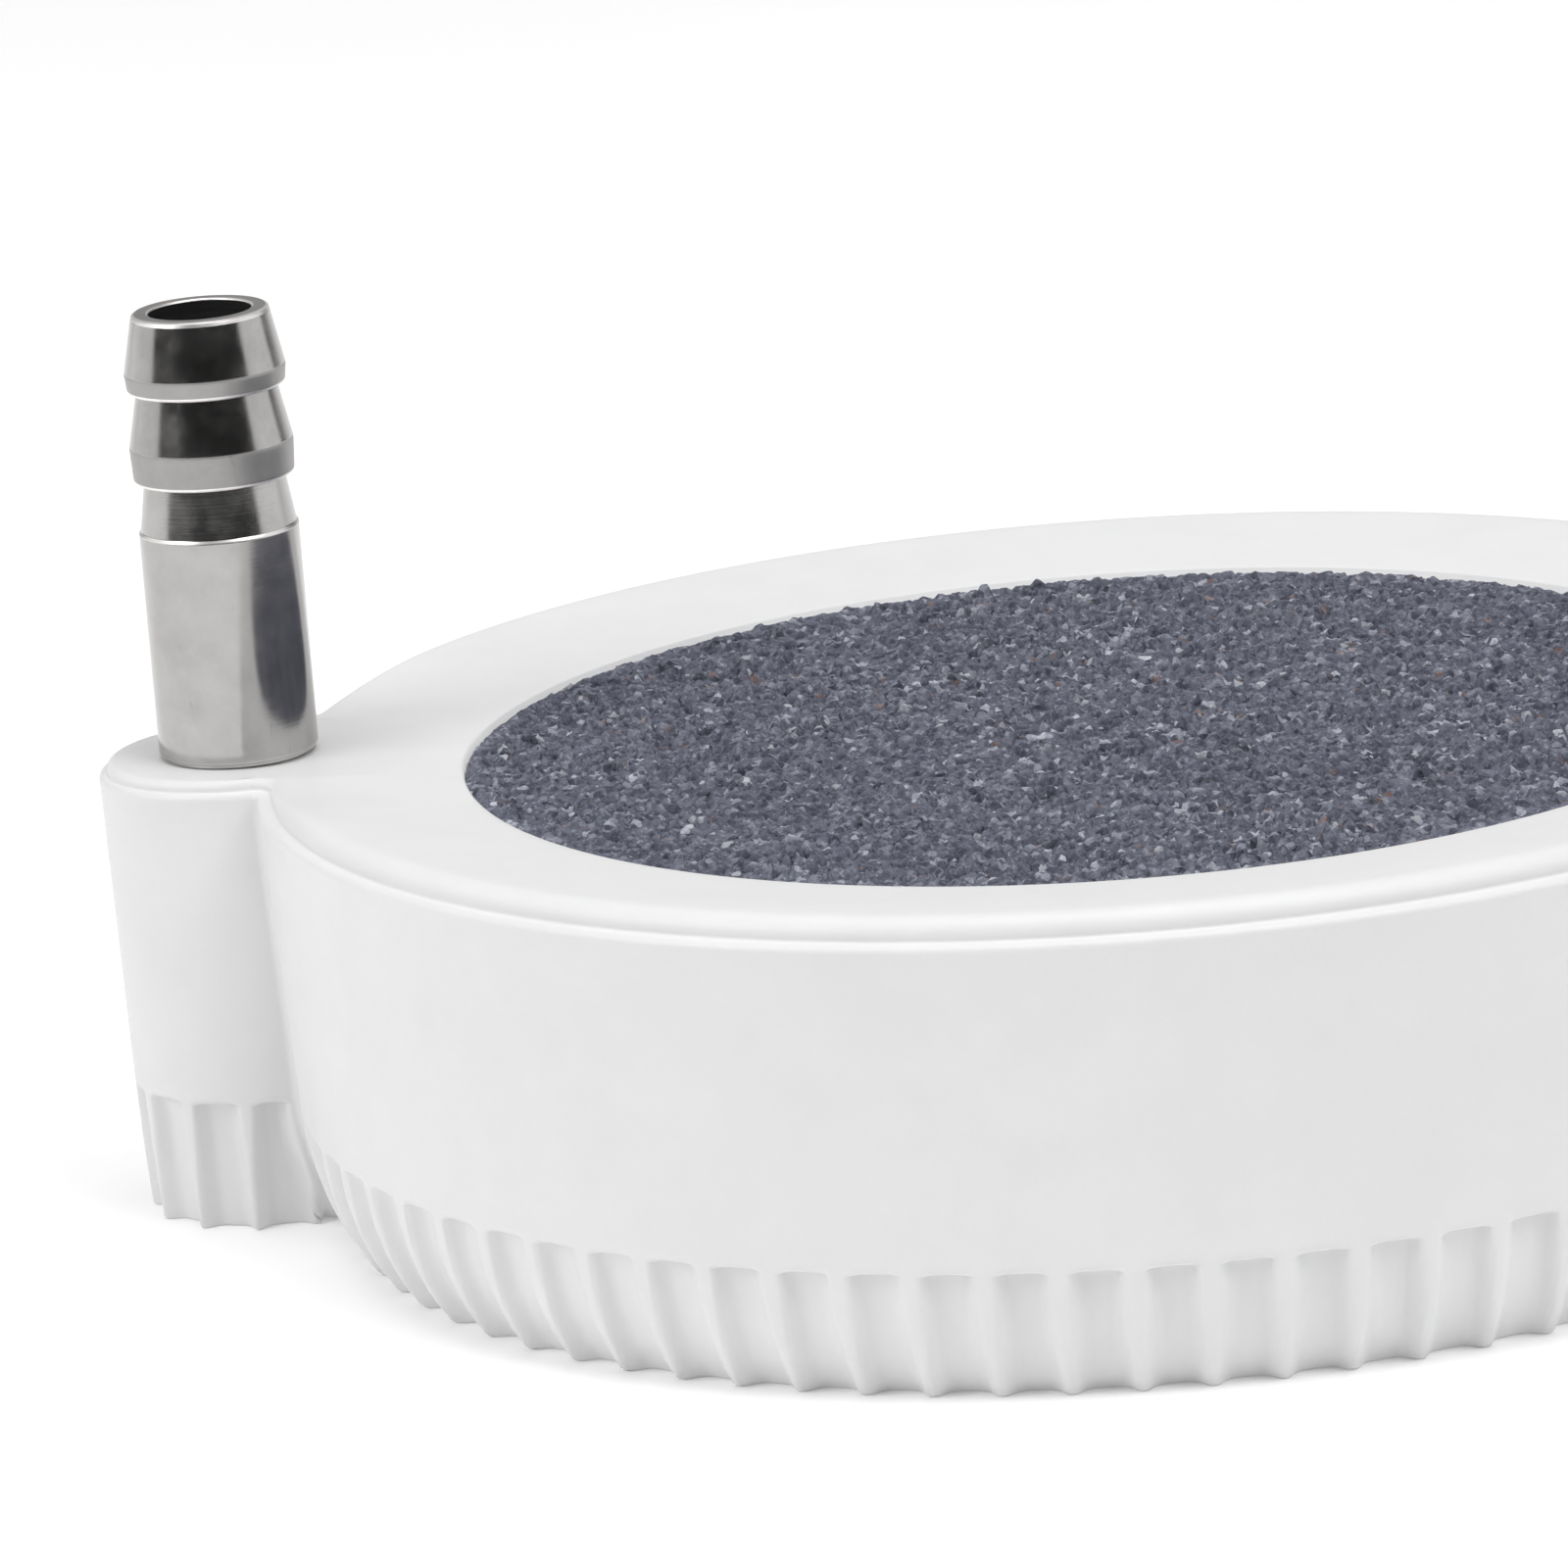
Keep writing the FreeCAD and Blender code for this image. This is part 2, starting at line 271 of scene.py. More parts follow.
def cast_resin():
    """Amber-grey resin that bonds the stone to its seat."""
    material, tree, shader = new_material("bond_resin")
    cloud = noise(tree, place(tree), 1.2, 3.0, 0.6)
    tree.links.new(ramp(tree, cloud, [(0.3, (0.50, 0.47, 0.40)), (0.7, (0.62, 0.59, 0.52))]),
                   shader.inputs["Base Color"])
    tree.links.new(ramp(tree, cloud, [(0.3, 0.25), (0.7, 0.40)]), shader.inputs["Roughness"])
    return material


PLASTIC = white_plastic()
STONE = porous_stone()
METAL = turned_metal("barb_metal", 0.51, 0.15, 0.24)
# darker copy of the barb metal: painted shade on the stem
STEM_METAL_SHADED = turned_metal("barb_stem", 0.44, 0.11, 0.20)
BAND = turned_metal("barb_band", 0.385, 0.34, 0.46)
# near-white copy of the barb metal: a painted highlight along the blunted edges
EDGE_HIGHLIGHT = turned_metal("barb_edge", 0.90, 0.35, 0.45)
BORE_PAINTED_SHADE = painted_shade_bore()
CAD_FINISHES = {
    "base_cover": PLASTIC,
    "cover_gasket": soft_rubber(),
    "ballast_ring": plain_steel(),
    "stone_bond": cast_resin(),
}
CAD_FINISHES["barb_o_ring"] = CAD_FINISHES["cover_gasket"]
for name, finish in CAD_FINISHES.items():
    node = frame["nodes"][name]
    node.data.materials.clear()
    node.data.materials.append(finish)


# ------------------------------------------------------------------ mesh helpers
def make_piece(name, vertices, faces, material):
    """Smooth-shaded mesh object from vertices in millimetres."""
    mesh = bpy.data.meshes.new(name)
    mesh.from_pydata((np.asarray(vertices) * MM).tolist(), [], faces)
    mesh.polygons.foreach_set("use_smooth", [True] * len(mesh.polygons))
    mesh.materials.append(material)
    mesh.update()
    piece = bpy.data.objects.new(name, mesh)
    bpy.context.collection.objects.link(piece)
    return piece


def skin_rows(rows, low_point, high_point):
    """Closed skin over rings of equally many points, with a fan to one point at each end."""
    rows = [np.asarray(row) for row in rows]
    count = len(rows[0])
    vertices = np.vstack(rows + [np.array([low_point]), np.array([high_point])])
    low_index, high_index = len(vertices) - 2, len(vertices) - 1
    column = np.arange(count)
    after = (column + 1) % count
    faces = []
    for index in range(len(rows) - 1):
        this, above = index * count, (index + 1) * count
        faces += np.stack([this + column, this + after, above + after, above + column], axis=1).tolist()
    faces += np.stack([np.full(count, low_index), after, column], axis=1).tolist()
    last = (len(rows) - 1) * count
    faces += np.stack([np.full(count, high_index), last + column, last + after], axis=1).tolist()
    return vertices, faces


def ease(x):
    """Smooth step from 0 to 1."""
    x = np.clip(x, 0.0, 1.0)
    return x * x * (3 - 2 * x)


# ------------------------------------------------------------------ housing
FLUTES = 74
FLUTE_START = math.radians(0.7)
BOSS_FLUTES = 13
BOSS_FLUTE_START = math.radians(90.0)
FLUTE_FLATNESS = 4.0        # 2 is a round scoop; more has a flatter floor and steeper sides
FLUTE_WIDTH_LOW = 0.88      # half width of a flute at the resting face
FLUTE_WIDTH_HIGH = 0.78     # and at its top
FLUTE_DEPTH_LOW = 0.56
FLUTE_DEPTH_HIGH = 0.50
RIB_SOFTNESS = 0.06
FADE = 0.6                  # length over which the flutes fade out beside a corner
CORNER = 0.25               # hollow corner between body and boss
COLUMNS_BODY = FLUTES * 15
COLUMNS_BOSS = 208
COLUMNS_CORNER = 12
LEDGE = 0.45
LEDGE_ROUND = 0.22
CREASE_ROUND = 0.08
BOSS_LEDGE_SHARE = 0.6      # how wide the ledge is on the boss beside that on the body
RIM_ROUND = 0.6
BOSS_ROUND = 0.25
SKIRT_LEAN = 0.5
FOOT_INSET = 1.5
BOSS_LEAN = 0.25
BOSS_FOOT_INSET = 0.2
NECK_TURN = math.radians(3.6)   # half the angle of the neck between the feet, seen from the body's axis


class Outline:
    """Closed plan outline of body and boss with a hollow corner on each side of the boss.

    body, boss and corner are the three radii. points() goes round against the clock from
    the corner above the boss, and also gives the angles of the points on body and boss.
    """

    def __init__(self, body, boss, corner):
        self.body, self.boss, self.corner = body, boss, corner
        gap = -BOSS_X
        a, b = body + corner, boss + corner
        self.turn = math.acos((a * a + gap * gap - b * b) / (2 * a * gap))
        self.tilt = math.acos((b * b + gap * gap - a * a) / (2 * b * gap))
        self.hollow = Vector((-a * math.cos(self.turn), a * math.sin(self.turn)))

    def points(self):
        body_angle = np.linspace(math.pi + self.turn, 3 * math.pi - self.turn, COLUMNS_BODY)
        body = self.body * np.stack([np.cos(body_angle), np.sin(body_angle)], axis=1)
        boss_angle = np.linspace(self.tilt, 2 * math.pi - self.tilt, COLUMNS_BOSS)
        boss = self.boss * np.stack([np.cos(boss_angle), np.sin(boss_angle)], axis=1)
        boss[:, 0] += BOSS_X
        start = -self.turn
        end = self.tilt - math.pi
        corner_angle = np.linspace(start, end, COLUMNS_CORNER + 2)[1:-1]
        corner = self.corner * np.stack([np.cos(corner_angle), np.sin(corner_angle)], axis=1)
        upper = corner + np.array([self.hollow.x, self.hollow.y])
        lower = upper[::-1] * np.array([1, -1])
        return np.vstack([body, upper, boss, lower]), body_angle, boss_angle


def flute_depths(body_radius, boss_radius, body_angle, boss_angle, level, amount):
    """How far each column of an outline is scooped in, for a share amount of the full depth."""
    rise = level / FLUTE_TOP
    half_width = FLUTE_WIDTH_LOW + (FLUTE_WIDTH_HIGH - FLUTE_WIDTH_LOW) * rise
    full_depth = FLUTE_DEPTH_LOW + (FLUTE_DEPTH_HIGH - FLUTE_DEPTH_LOW) * rise

    def scoop(angle, start, count, radius):
        pitch = 2 * math.pi / count
        off = (angle - start + pitch / 2) % pitch - pitch / 2
        depth = full_depth * (1 - (np.abs(off) * radius / half_width) ** FLUTE_FLATNESS)
        depth = (depth + np.sqrt(depth ** 2 + RIB_SOFTNESS ** 2)) / 2
        # flutes fade out where the two feet meet
        edge = np.minimum(angle - angle[0], angle[-1] - angle) * radius
        return depth * ease(edge / FADE)

    body = scoop(body_angle, FLUTE_START, FLUTES, body_radius)
    boss = scoop(boss_angle, BOSS_FLUTE_START, BOSS_FLUTES, boss_radius)
    hollow = np.zeros(COLUMNS_CORNER)
    return amount * np.concatenate([body, hollow, boss, hollow])


def outline_row(body, boss, corner, level, scooped=0.0):
    """One ring of the housing's skin. level may be one height or one height per column."""
    outline = Outline(body, boss, corner)
    flat, body_angle, boss_angle = outline.points()
    if scooped:
        depth = flute_depths(body, boss, body_angle, boss_angle, level, scooped)
        centres = np.zeros_like(flat)
        on_boss = slice(COLUMNS_BODY + COLUMNS_CORNER, COLUMNS_BODY + COLUMNS_CORNER + COLUMNS_BOSS)
        centres[on_boss, 0] = BOSS_X
        out = flat - centres
        out /= np.linalg.norm(out, axis=1)[:, None]
        flat = flat - out * depth[:, None]
    return np.column_stack([flat, np.broadcast_to(level, len(flat))])


def circle_row(radius, level, turn=None):
    """Ring on the body's axis whose columns line up with those of the outline.

    The columns that lead to the boss take up the angle turn on either side of it.
    """
    turn = turn or Outline(BODY_RADIUS, BOSS_RADIUS, CORNER).turn
    body_angle = np.linspace(math.pi + turn, 3 * math.pi - turn, COLUMNS_BODY)
    rest = COLUMNS_BOSS + 2 * COLUMNS_CORNER
    boss_angle = np.linspace(3 * math.pi - turn, 3 * math.pi + turn, rest + 2)[1:-1]
    angles = np.concatenate([body_angle, boss_angle])
    ring = radius * np.stack([np.cos(angles), np.sin(angles)], axis=1)
    return np.column_stack([ring, np.full(len(ring), level)])


def neck_row(body, boss, corner, level):
    """Ring inside an outline whose boss columns are gathered on a straight line across the neck."""
    outline = Outline(body, boss, corner)
    flat = outline.points()[0]
    neck = -abs(outline.hollow.x)
    half = 0.75 * (outline.hollow.y - corner)
    side = np.linspace(flat[COLUMNS_BODY - 1], (neck, half), COLUMNS_CORNER + 2)[1:-1]
    across = np.linspace((neck, half), (neck, -half), COLUMNS_BOSS)
    flat = np.vstack([flat[:COLUMNS_BODY], side, across, side[::-1] * np.array([1, -1])])
    return np.column_stack([flat, np.full(len(flat), level)])


def skirt_inset(level, lean, inset):
    """How far the foot has curved in at a level, as a circular arc that leaves the wall smoothly."""
    slope = math.atan2(lean, LEDGE_LEVEL - FLUTE_TOP)
    half_turn = math.atan2(inset, FLUTE_TOP) - slope
    radius = math.hypot(inset, FLUTE_TOP) / (2 * math.sin(half_turn))
    centre_level = FLUTE_TOP + radius * math.sin(slope)
    return radius * math.cos(slope) - math.sqrt(radius ** 2 - (centre_level - level) ** 2)


def body_weights():
    """1 on the body's rim and 0 round the boss, with a long soft change between them."""
    outline = Outline(BODY_RADIUS, BOSS_RADIUS, CORNER)
    angle = outline.points()[1]
    reach = math.radians(16)
    near = np.minimum(angle - angle[0], angle[-1] - angle)
    return np.concatenate([ease(near / reach), np.zeros(COLUMNS_BOSS + 2 * COLUMNS_CORNER)])


def housing_rows():
    """Rings from the hub under the web, out over the foot, up the wall and in to the air space."""
    inside = [(HUB_RADIUS, COVER_HIGH[2]), (HUB_RADIUS, WEB_UNDERSIDE), (CHAMBER_RADIUS, WEB_UNDERSIDE),
              (CHAMBER_RADIUS, RECESS_LEVEL), (RECESS_RADIUS, RECESS_LEVEL), (RECESS_RADIUS, 0.1),
              (RECESS_RADIUS + 0.1, 0.0)]
    rows = [circle_row(radius, level, NECK_TURN) for radius, level in inside]
    # resting face, carried past the bottoms of the flutes
    foot_round = 0.12
    margin = 0.8
    foot_body = BODY_RADIUS - SKIRT_LEAN - FOOT_INSET - foot_round - margin
    foot_boss = BOSS_RADIUS - BOSS_LEAN - BOSS_FOOT_INSET - foot_round - margin
    rows.append(neck_row(foot_body - 0.3, foot_boss, CORNER + margin, 0.0))
    rows.append(outline_row(foot_body, foot_boss, CORNER + margin, 0.0))
    # foot with flutes
    for level in [0.0, 0.03, foot_round] + list(np.linspace(0.4, 3.7, 11)) + [3.9, 4.02, 4.08]:
        tuck = foot_round - math.sqrt(max(0, foot_round ** 2 - (foot_round - min(level, foot_round)) ** 2))
        body = BODY_RADIUS - SKIRT_LEAN - skirt_inset(level, SKIRT_LEAN, FOOT_INSET) - tuck
        boss = BOSS_RADIUS - BOSS_LEAN - skirt_inset(level, BOSS_LEAN, BOSS_FOOT_INSET) - tuck
        rows.append(outline_row(body, boss, CORNER, level, 1.0))
    # overhanging top edge of the flutes, slightly rounded
    edge_round = 0.14
    for share in (1.0, 0.75, 0.5, 0.25, 0.12, 0.04, 0.0):
        level = 4.10 + edge_round * (1 - share) ** 2
        lean = (LEDGE_LEVEL - level) / (LEDGE_LEVEL - FLUTE_TOP)
        rows.append(outline_row(BODY_RADIUS - SKIRT_LEAN * lean, BOSS_RADIUS - BOSS_LEAN * lean, CORNER,
                                level, share))
    # leaning wall
    wall_top = LEDGE_LEVEL - LEDGE_ROUND
    for level in np.linspace(4.45, wall_top - 0.05, 5):
        lean = (LEDGE_LEVEL - level) / (LEDGE_LEVEL - FLUTE_TOP)
        rows.append(outline_row(BODY_RADIUS - SKIRT_LEAN * lean, BOSS_RADIUS - BOSS_LEAN * lean, CORNER,
                                level))
    # rounded ledge, riser and rounded crest
    weight = body_weights()

    def inset_row(inset, level):
        boss = BOSS_RADIUS - BOSS_LEDGE_SHARE * inset
        rows.append(outline_row(BODY_RADIUS - inset, boss, CORNER + inset, level))

    for turn in np.radians([0, 15, 30, 45, 60, 75, 90]):
        inset_row(LEDGE_ROUND * (1 - math.cos(turn)), wall_top + LEDGE_ROUND * math.sin(turn))
    for turn in np.radians([0, 30, 60, 90]):
        inset_row(LEDGE - CREASE_ROUND * (1 - math.sin(turn)),
                  LEDGE_LEVEL + CREASE_ROUND * (1 - math.cos(turn)))
    crest = BOSS_FACE + (CREST_LEVEL - BOSS_FACE) * weight
    rounding = BOSS_ROUND + (RIM_ROUND - BOSS_ROUND) * weight
    boss_step = BOSS_RADIUS - BOSS_LEDGE_SHARE * LEDGE
    for turn in np.radians([0, 15, 30, 45, 60, 75, 90]):
        inset = LEDGE + rounding * (1 - math.cos(turn))
        level = crest - rounding * (1 - math.sin(turn))
        low = outline_row(BODY_RADIUS - LEDGE, boss_step, CORNER + LEDGE, level)
        deep = outline_row(BODY_RADIUS - LEDGE - RIM_ROUND, boss_step - RIM_ROUND,
                           CORNER + LEDGE + RIM_ROUND, level)
        share = ((inset - LEDGE) / RIM_ROUND)[:, None]
        rows.append(low * (1 - share) + deep * share)
    # annulus that falls gently from the crest to the stone
    outer = rows[-1]
    inner = circle_row(STONE_RADIUS + STONE_GAP, STONE_TOP)
    for share in (0.06, 0.14, 0.25, 0.38, 0.52, 0.66, 0.8, 0.92, 0.985):
        row = outer * (1 - share) + inner * share
        row[:, 2] = outer[:, 2] + (STONE_TOP - outer[:, 2]) * share ** 1.15
        rows.append(row)
    rows.append(inner - np.array([0, 0, 0.02]))
    rows += [circle_row(STONE_RADIUS + STONE_GAP, SEAT_LEVEL), circle_row(PLENUM_RADIUS, SEAT_LEVEL),
             circle_row(PLENUM_RADIUS, SEAT_LEVEL - PLENUM_DEPTH)]
    return rows


def make_housing():
    low, high = (0, 0, COVER_HIGH[2]), (0, 0, SEAT_LEVEL - PLENUM_DEPTH)
    vertices, faces = skin_rows(housing_rows(), low, high)
    return make_piece("housing_shell", vertices, faces, PLASTIC)


housing = make_housing()
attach(housing, "root")
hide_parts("housing")


# ------------------------------------------------------------------ porous stone
GRAIN = 0.36                # mean distance between grains
GRAIN_RELIEF = 0.17         # how unevenly the grains stand
GRAIN_TILT = 0.45
MESH_STEP = 0.118
BED_DEPTH = 0.08            # of the grains' mean level below the stone's top
EDGE_BREAK = 0.12           # how far the worn edge drops
EDGE_CALM = 0.7             # share of the relief that is worn away at the edge


def grain_heights(x, y):
    """Height of a bed of broken grains: each point belongs to the nearest grain's facet."""
    cells = int(2 * STONE_RADIUS / GRAIN) + 4
    jitter = random.uniform(-0.5, 0.5, (cells, cells, 2))
    stand = random.normal(0, GRAIN_RELIEF * 0.5, (cells, cells))
    tilt = random.normal(0, GRAIN_TILT * 0.5, (cells, cells, 2))
    column = np.floor(x / GRAIN).astype(int) + cells // 2
    row = np.floor(y / GRAIN).astype(int) + cells // 2
    nearest = np.full(x.shape, 1e9)
    second = np.full(x.shape, 1e9)
    height = np.zeros(x.shape)
    for dx in (-1, 0, 1):
        for dy in (-1, 0, 1):
            c = np.clip(column + dx, 0, cells - 1)
            r = np.clip(row + dy, 0, cells - 1)
            seed_x = (c - cells // 2 + 0.5 + 0.8 * jitter[c, r, 0]) * GRAIN
            seed_y = (r - cells // 2 + 0.5 + 0.8 * jitter[c, r, 1]) * GRAIN
            distance = np.hypot(x - seed_x, y - seed_y)
            facet = stand[c, r] + tilt[c, r, 0] * (x - seed_x) + tilt[c, r, 1] * (y - seed_y)
            closer = distance < nearest
            second = np.where(closer, nearest, np.minimum(second, distance))
            height = np.where(closer, facet, height)
            nearest = np.minimum(nearest, distance)
    crevice = np.clip((second - nearest) / (0.35 * GRAIN), 0, 1)
    return height - GRAIN_RELIEF * (1 - crevice)


def make_stone():
    """Disc whose top face is real grain relief, with a broken edge and plain sides."""
    steps = int(STONE_RADIUS / MESH_STEP)
    vertices, rings = [(0, 0, 0)], []
    for ring in range(1, steps + 1):
        radius = STONE_RADIUS * ring / steps
        count = 6 * ring
        angle = 2 * math.pi * np.arange(count) / count
        rings.append((len(vertices), count))
        around = np.column_stack([radius * np.cos(angle), radius * np.sin(angle), np.zeros(count)])
        vertices += around.tolist()
    vertices = np.array(vertices)
    radius = np.hypot(vertices[:, 0], vertices[:, 1])
    inner = radius < STONE_RADIUS - MESH_STEP / 2
    vertices[inner, :2] += random.uniform(-0.3, 0.3, (inner.sum(), 2)) * MESH_STEP
    calm = 1 - EDGE_CALM * ease((radius - STONE_RADIUS + 1.0) / 1.0)
    height = grain_heights(vertices[:, 0], vertices[:, 1]) * calm
    drop = EDGE_BREAK * ease((radius - STONE_RADIUS + 0.3) / 0.3)
    vertices[:, 2] = STONE_TOP - BED_DEPTH + height - drop
    faces = []
    for ring in range(steps):
        start, count = rings[ring]
        if ring == 0:
            faces += [(0, start + i, start + (i + 1) % count) for i in range(count)]
            continue
        below, inside = rings[ring - 1]
        side = ring + 1
        for sector in range(6):
            for i in range(side):
                outer_a = start + (sector * side + i) % count
                outer_b = start + (sector * side + i + 1) % count
                inner_a = below + (sector * ring + i) % inside
                faces.append((inner_a, outer_a, outer_b))
                if i < side - 1:
                    inner_b = below + (sector * ring + i + 1) % inside
                    faces.append((inner_a, outer_b, inner_b))
    # sides and underside
    start, count = rings[-1]
    edge = np.arange(count)
    after = (edge + 1) % count
    rim = vertices[start:start + count]
    for level in (STONE_TOP - 0.8, STONE_LOW[2]):
        base = len(vertices)
        vertices = np.vstack([vertices, np.column_stack([rim[:, :2], np.full(count, level)])])
        faces += np.stack([start + after, start + edge, base + edge, base + after], axis=1).tolist()
        start = base
    vertices = np.vstack([vertices, [[0, 0, STONE_LOW[2]]]])
    middle = len(vertices) - 1
    faces += np.stack([start + after, start + edge, np.full(count, middle)], axis=1).tolist()
    piece = make_piece("stone_disc", vertices, faces, STONE)
    flat = [len(p.vertices) == 3 for p in piece.data.polygons]
    piece.data.polygons.foreach_set("use_smooth", [not f for f in flat])
    return piece


stone = make_stone()
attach(stone, "root")
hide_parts("air_stone")


# ------------------------------------------------------------------ hose barb
# slot 2 paints a highlight on the blunted edges, slot 3 paints shade in the bore and slot 4 paints shade on
# the stem
BARB_FINISHES = (METAL, BAND, EDGE_HIGHLIGHT, BORE_PAINTED_SHADE, STEM_METAL_SHADED)
POLISHED, BAND_CUT, BLUNT_HIGHLIGHT, DRILLED_SHADE, PLAIN_SHADED = range(5)
SHANK_RADIUS = 2.2
SHANK_HOLE_RADIUS = 1.1
NECK_RADIUS = 2.2
LOW_CREST_RADIUS = 2.56
TOP_CREST_RADIUS = 2.52
LIP_RADIUS = 2.18
BORE_RADIUS = 1.6
TOP_CONE = 1.85             # heights from the lip down
TOP_BAND = 0.6
LOW_CONE = 1.75
LOW_BAND = 1.1


def held_flat(profile):
    """Profile with extra points beside its corners, so that shading stays flat between them."""
    held = []
    for this, after in zip(profile, profile[1:] + profile[:1]):
        held.append(this)
        run = math.hypot(after[0] - this[0], after[1] - this[1])
        if run > 0.25:
            for share in (0.03 / run, 1 - 0.03 / run):
                held.append((this[0] + (after[0] - this[0]) * share,
                             this[1] + (after[1] - this[1]) * share, this[2]))
    return held


def barb_ring(crest_radius, neck, crest):
    """Undercut neck, blunted lower edge with a painted highlight, band and crest of one barb."""
    return [(NECK_RADIUS, neck, POLISHED), (crest_radius - 0.14, neck, BLUNT_HIGHLIGHT),
            (crest_radius - 0.08, neck + 0.04, BLUNT_HIGHLIGHT), (crest_radius - 0.05, neck + 0.11, BAND_CUT),
            (crest_radius, crest - 0.05, BAND_CUT), (crest_radius - 0.005, crest + 0.03, POLISHED)]


def make_barb():
    """Turned barb with slightly blunted crests, a chamfered lip and an open bore; the blunted edges carry a
    painted highlight, the bore painted shade and the stem a darker copy of the metal as painted shade.
    """
    top = BARB_HIGH[2]
    crest_1 = top - TOP_CONE
    neck_1 = crest_1 - TOP_BAND
    crest_2 = neck_1 - LOW_CONE
    neck_2 = crest_2 - LOW_BAND
    # radius, height, and the finish from there to the next point
    profile = held_flat([
        (SHANK_HOLE_RADIUS, BARB_LOW[2], DRILLED_SHADE), (SHANK_RADIUS, BARB_LOW[2], POLISHED),
        (SHANK_RADIUS, BOSS_FACE - 0.02, POLISHED), (STEM_RADIUS - 0.14, BOSS_FACE - 0.02, POLISHED),
        (STEM_RADIUS - 0.14, BOSS_FACE + 0.06, POLISHED), (STEM_RADIUS - 0.04, BOSS_FACE + 0.10, POLISHED),
        (STEM_RADIUS, BOSS_FACE + 0.18, PLAIN_SHADED), (STEM_RADIUS, STEM_TOP - 0.05, BLUNT_HIGHLIGHT),
        (STEM_RADIUS - 0.015, STEM_TOP, BLUNT_HIGHLIGHT), (STEM_RADIUS - 0.06, STEM_TOP + 0.05, POLISHED),
        *barb_ring(LOW_CREST_RADIUS, neck_2, crest_2), *barb_ring(TOP_CREST_RADIUS, neck_1, crest_1),
        (LIP_RADIUS, top - 0.16, BLUNT_HIGHLIGHT), (LIP_RADIUS - 0.04, top - 0.05, BLUNT_HIGHLIGHT),
        (LIP_RADIUS - 0.12, top, BAND_CUT), (BORE_RADIUS + 0.08, top, BLUNT_HIGHLIGHT),
        (BORE_RADIUS + 0.04, top - 0.02, BLUNT_HIGHLIGHT), (BORE_RADIUS + 0.02, top - 0.06, DRILLED_SHADE),
        (BORE_RADIUS, BOSS_FACE, DRILLED_SHADE), (SHANK_HOLE_RADIUS, BOSS_FACE - 0.5, DRILLED_SHADE),
    ])
    around = 160
    angle = 2 * math.pi * np.arange(around) / around
    vertices = np.vstack([np.column_stack([BOSS_X + r * np.cos(angle), r * np.sin(angle), np.full(around, z)])
                          for r, z, _ in profile])
    column = np.arange(around)
    after = (column + 1) % around
    faces, finishes = [], []
    for index, (_, _, finish) in enumerate(profile):
        this, above = index * around, (index + 1) % len(profile) * around
        faces += np.stack([this + column, this + after, above + after, above + column], axis=1).tolist()
        finishes += [finish] * around
    piece = make_piece("barb_turned", vertices, faces, METAL)
    for finish in BARB_FINISHES[1:]:
        piece.data.materials.append(finish)
    piece.data.polygons.foreach_set("material_index", finishes)
    piece.data.set_sharp_from_angle(angle=math.radians(38))
    return piece


barb = make_barb()
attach(barb, "root")
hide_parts("hose_barb")


# ------------------------------------------------------------------ stage, light, camera
FLOOR_GLOW = 0.16


def make_floor():
    """Pale seamless floor."""
    material, tree, shader = new_material("floor_paper")
    fleck = noise(tree, place(tree), 0.02, 2.0)
    tree.links.new(ramp(tree, fleck, [(0.3, 0.90), (0.7, 0.92)]), shader.inputs["Base Color"])
    shader.inputs["Roughness"].default_value = 0.9
    shader.inputs["Specular IOR Level"].default_value = 0.1
    shader.inputs["Emission Color"].default_value = (1, 1, 1, 1)
    shader.inputs["Emission Strength"].default_value = FLOOR_GLOW
    bpy.ops.mesh.primitive_circle_add(vertices=96, radius=4.0, fill_type="NGON")
    floor = bpy.context.object
    floor.name = "floor"
    floor.data.materials.append(material)


WORLD_STRENGTH = 0.03
BOX_DISTANCE = 0.7
SOFTBOXES = {               # degrees round from the camera to the right, degrees up, size, watts
    "left_softbox": (-106, 14, 0.70, 1.18),
    "right_softbox": (92, 14, 0.70, 1.25),
    "front_left_softbox": (-62, 34, 0.35, 1.6),
    "front_right_softbox": (45, 46, 0.35, 1.62),
    "top_softbox": (0, 84, 0.55, 3.2),
    "back_softbox": (180, 24, 0.90, 1.1),
}
CAMERA_AZIMUTH = 8.22       # towards +X from straight in front
CAMERA_ELEVATION = 13.84
CAMERA_ROLL = -4.50
CAMERA_STATION = (0.0380, -0.3344, 0.0959)
LENS = 256.6
SENSOR = 36.0


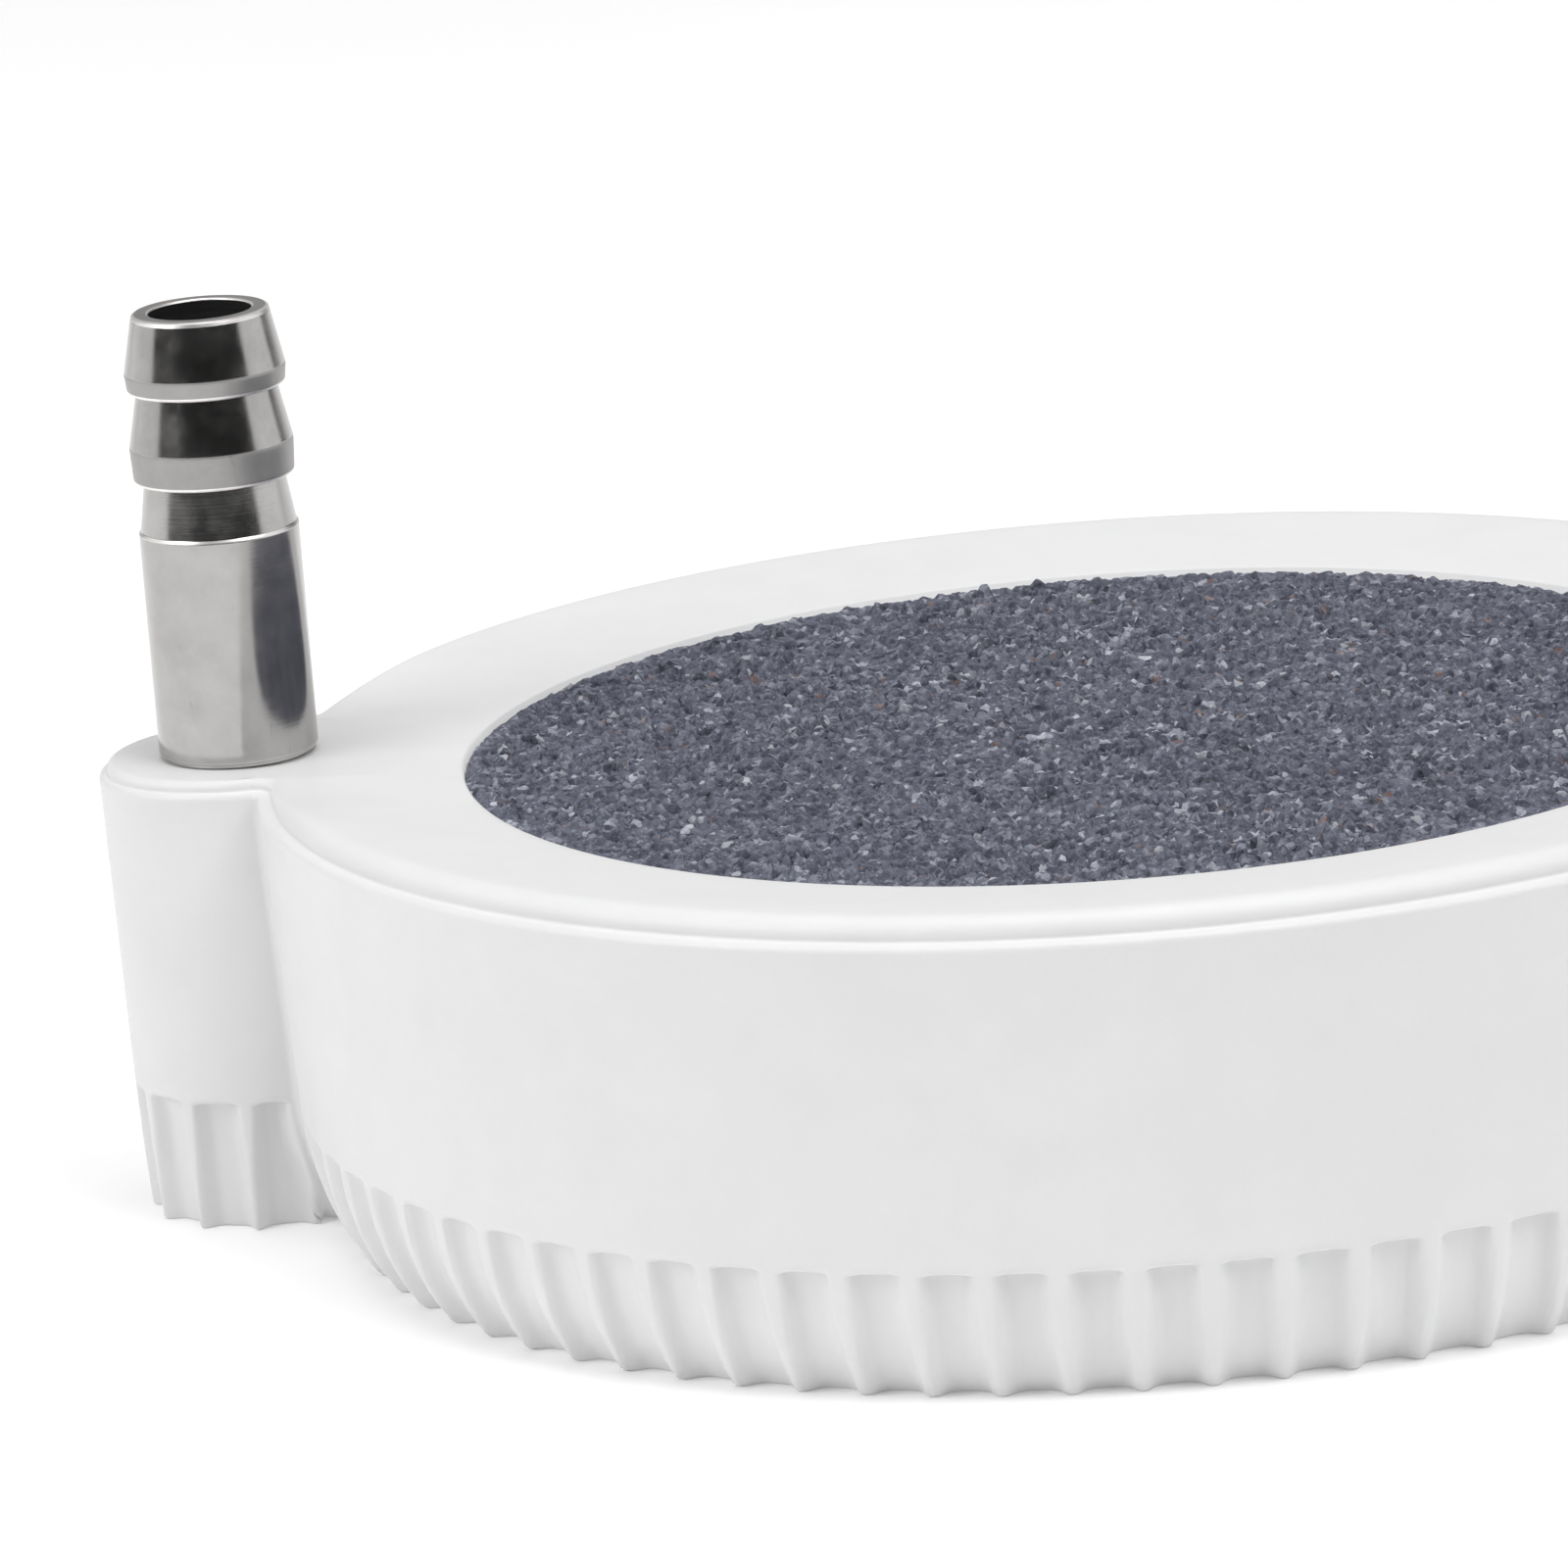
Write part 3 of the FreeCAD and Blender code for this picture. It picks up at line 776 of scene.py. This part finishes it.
def direction(azimuth, elevation):
    """Unit vector out to a bearing given in degrees, turning from -Y towards +X."""
    azimuth, elevation = math.radians(azimuth), math.radians(elevation)
    return Vector((math.sin(azimuth) * math.cos(elevation), -math.cos(azimuth) * math.cos(elevation),
                   math.sin(elevation)))


def make_world():
    """Pale tent above and behind, and a dark room low on the camera's side."""
    world = bpy.data.worlds.new("studio")
    bpy.context.scene.world = world
    world.use_nodes = True
    tree = world.node_tree
    where = tree.nodes.new("ShaderNodeTexCoord").outputs["Generated"]
    slant = add(tree, "ShaderNodeVectorMath", operation="DOT_PRODUCT")
    slant.inputs[1].default_value = (0.1, 0.75, 0.66)
    tree.links.new(where, slant.inputs[0])
    level = ramp(tree, slant.outputs["Value"], [(0.0, 0.02), (0.05, 0.02), (0.35, 0.7), (0.7, 1.0)])
    background = tree.nodes["Background"]
    tree.links.new(level, background.inputs["Color"])
    background.inputs["Strength"].default_value = WORLD_STRENGTH


def make_lights():
    for name, (azimuth, elevation, size, power) in SOFTBOXES.items():
        light = bpy.data.lights.new(name, "AREA")
        light.shape = "SQUARE"
        light.size = size
        light.energy = power
        lamp = bpy.data.objects.new(name, light)
        out = direction(CAMERA_AZIMUTH + azimuth, elevation)
        lamp.location = out * BOX_DISTANCE
        lamp.rotation_mode = "QUATERNION"
        lamp.rotation_quaternion = out.to_track_quat("Z", "Y")
        bpy.context.collection.objects.link(lamp)


def make_camera():
    camera = bpy.data.cameras.new("camera")
    camera.lens = LENS
    camera.sensor_width = SENSOR
    camera.clip_start = 0.01
    rig = bpy.data.objects.new("camera", camera)
    facing = direction(CAMERA_AZIMUTH, CAMERA_ELEVATION).to_track_quat("Z", "Y").to_matrix()
    roll = Matrix.Rotation(math.radians(CAMERA_ROLL), 3, "Z")
    rig.matrix_world = Matrix.Translation(CAMERA_STATION) @ (facing @ roll).to_4x4()
    bpy.context.collection.objects.link(rig)
    bpy.context.scene.camera = rig


make_floor()
make_world()
make_lights()
make_camera()
bpy.context.scene.view_settings.view_transform = "Standard"
